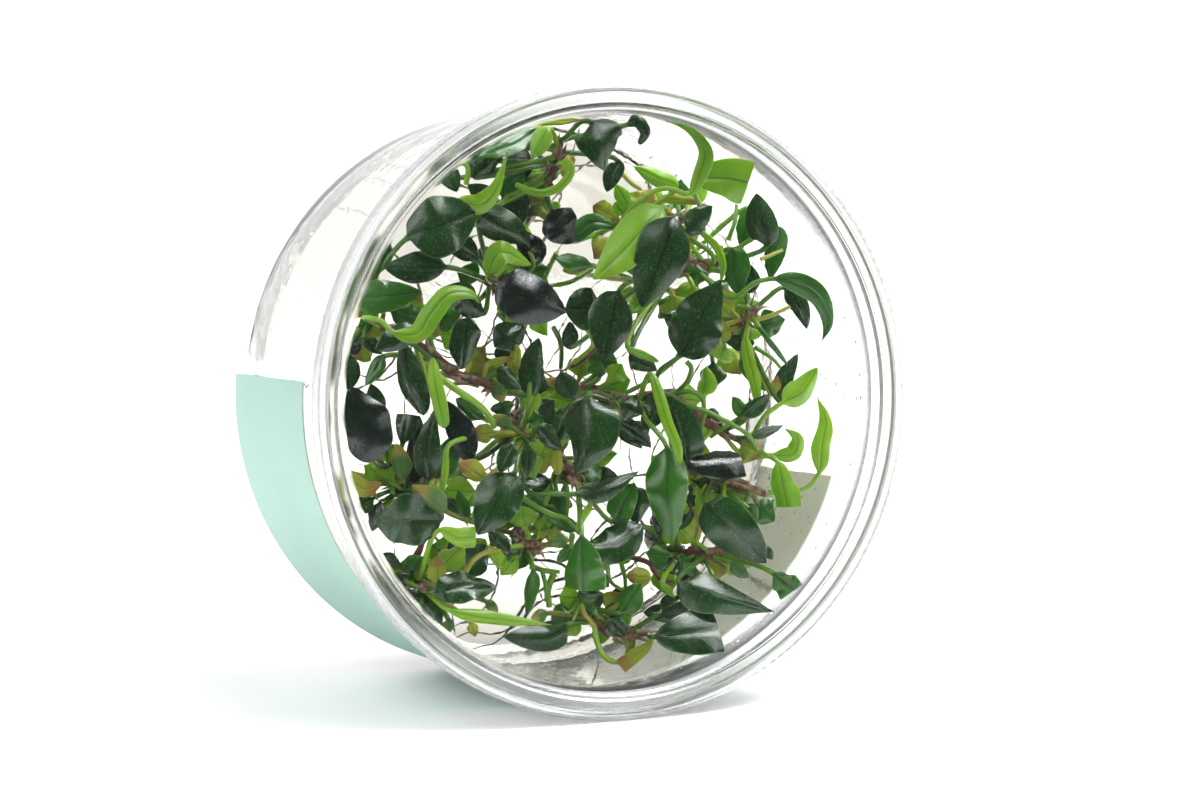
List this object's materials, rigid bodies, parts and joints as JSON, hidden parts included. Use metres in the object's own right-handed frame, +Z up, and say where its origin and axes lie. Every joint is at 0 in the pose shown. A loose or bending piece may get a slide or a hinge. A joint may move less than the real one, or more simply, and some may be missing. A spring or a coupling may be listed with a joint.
{
  "type": "aquarium plants in a tissue-culture cup",
  "caption": "Small broad-leaved aquarium plants with creeping stems, rooted in gel in a clear lidded cup that lies on its side.",
  "frame": {"origin": "centre of the bounding box at its lowest point, on the surface that the cup lies on", "axes": "+Z up, the lid faces -Y and a little up, the cup's base faces +Y"},
  "size_m": [0.0998, 0.0596, 0.0997],
  "materials": {
    "clear_plastic": "clear moulded plastic",
    "green_paper": "matte printed paper, mint green",
    "pale_gel": "cloudy cream gel",
    "stem_bark": "red-brown creeping stem with papery old leaf bases",
    "black_leaf": "glossy black-green leaf",
    "dark_leaf": "glossy dark green leaf with a leathery skin",
    "mid_leaf": "glossy mid-green leaf",
    "light_leaf": "young light green leaf"
  },
  "bodies": {
    "root": {"cup": "clear_plastic", "lid": "clear_plastic", "label": "green_paper", "gel": "pale_gel", "stem_01": "stem_bark", "stem_02": "stem_bark", "stem_03": "stem_bark", "stem_04": "stem_bark", "stem_05": "stem_bark", "stem_06": "stem_bark", "stem_07": "stem_bark", "stem_08": "stem_bark", "stem_09": "stem_bark", "stem_10": "stem_bark", "stem_11": "stem_bark", "stem_12": "stem_bark", "stem_13": "stem_bark", "stem_14": "stem_bark", "stem_15": "stem_bark", "stem_16": "stem_bark", "leaf_01": "dark_leaf", "leaf_02": "mid_leaf", "leaf_03": "dark_leaf", "leaf_04": "dark_leaf", "leaf_05": "black_leaf", "leaf_06": "light_leaf", "leaf_07": "light_leaf", "leaf_08": "light_leaf", "leaf_09": "dark_leaf", "leaf_10": "dark_leaf", "leaf_11": "mid_leaf", "leaf_12": "light_leaf", "leaf_13": "dark_leaf", "leaf_14": "black_leaf", "leaf_15": "dark_leaf", "leaf_16": "dark_leaf", "leaf_17": "dark_leaf", "leaf_18": "dark_leaf", "leaf_19": "dark_leaf", "leaf_20": "mid_leaf", "leaf_21": "mid_leaf", "leaf_22": "light_leaf", "leaf_23": "black_leaf", "leaf_24": "dark_leaf", "leaf_25": "dark_leaf", "leaf_26": "dark_leaf", "leaf_27": "dark_leaf", "leaf_28": "dark_leaf", "leaf_29": "mid_leaf", "leaf_30": "light_leaf", "leaf_31": "dark_leaf", "leaf_32": "black_leaf", "leaf_33": "light_leaf", "leaf_34": "light_leaf", "leaf_35": "dark_leaf", "leaf_36": "dark_leaf", "leaf_37": "mid_leaf", "leaf_38": "dark_leaf", "leaf_39": "dark_leaf", "leaf_40": "dark_leaf"}
  },
  "joints": []
}
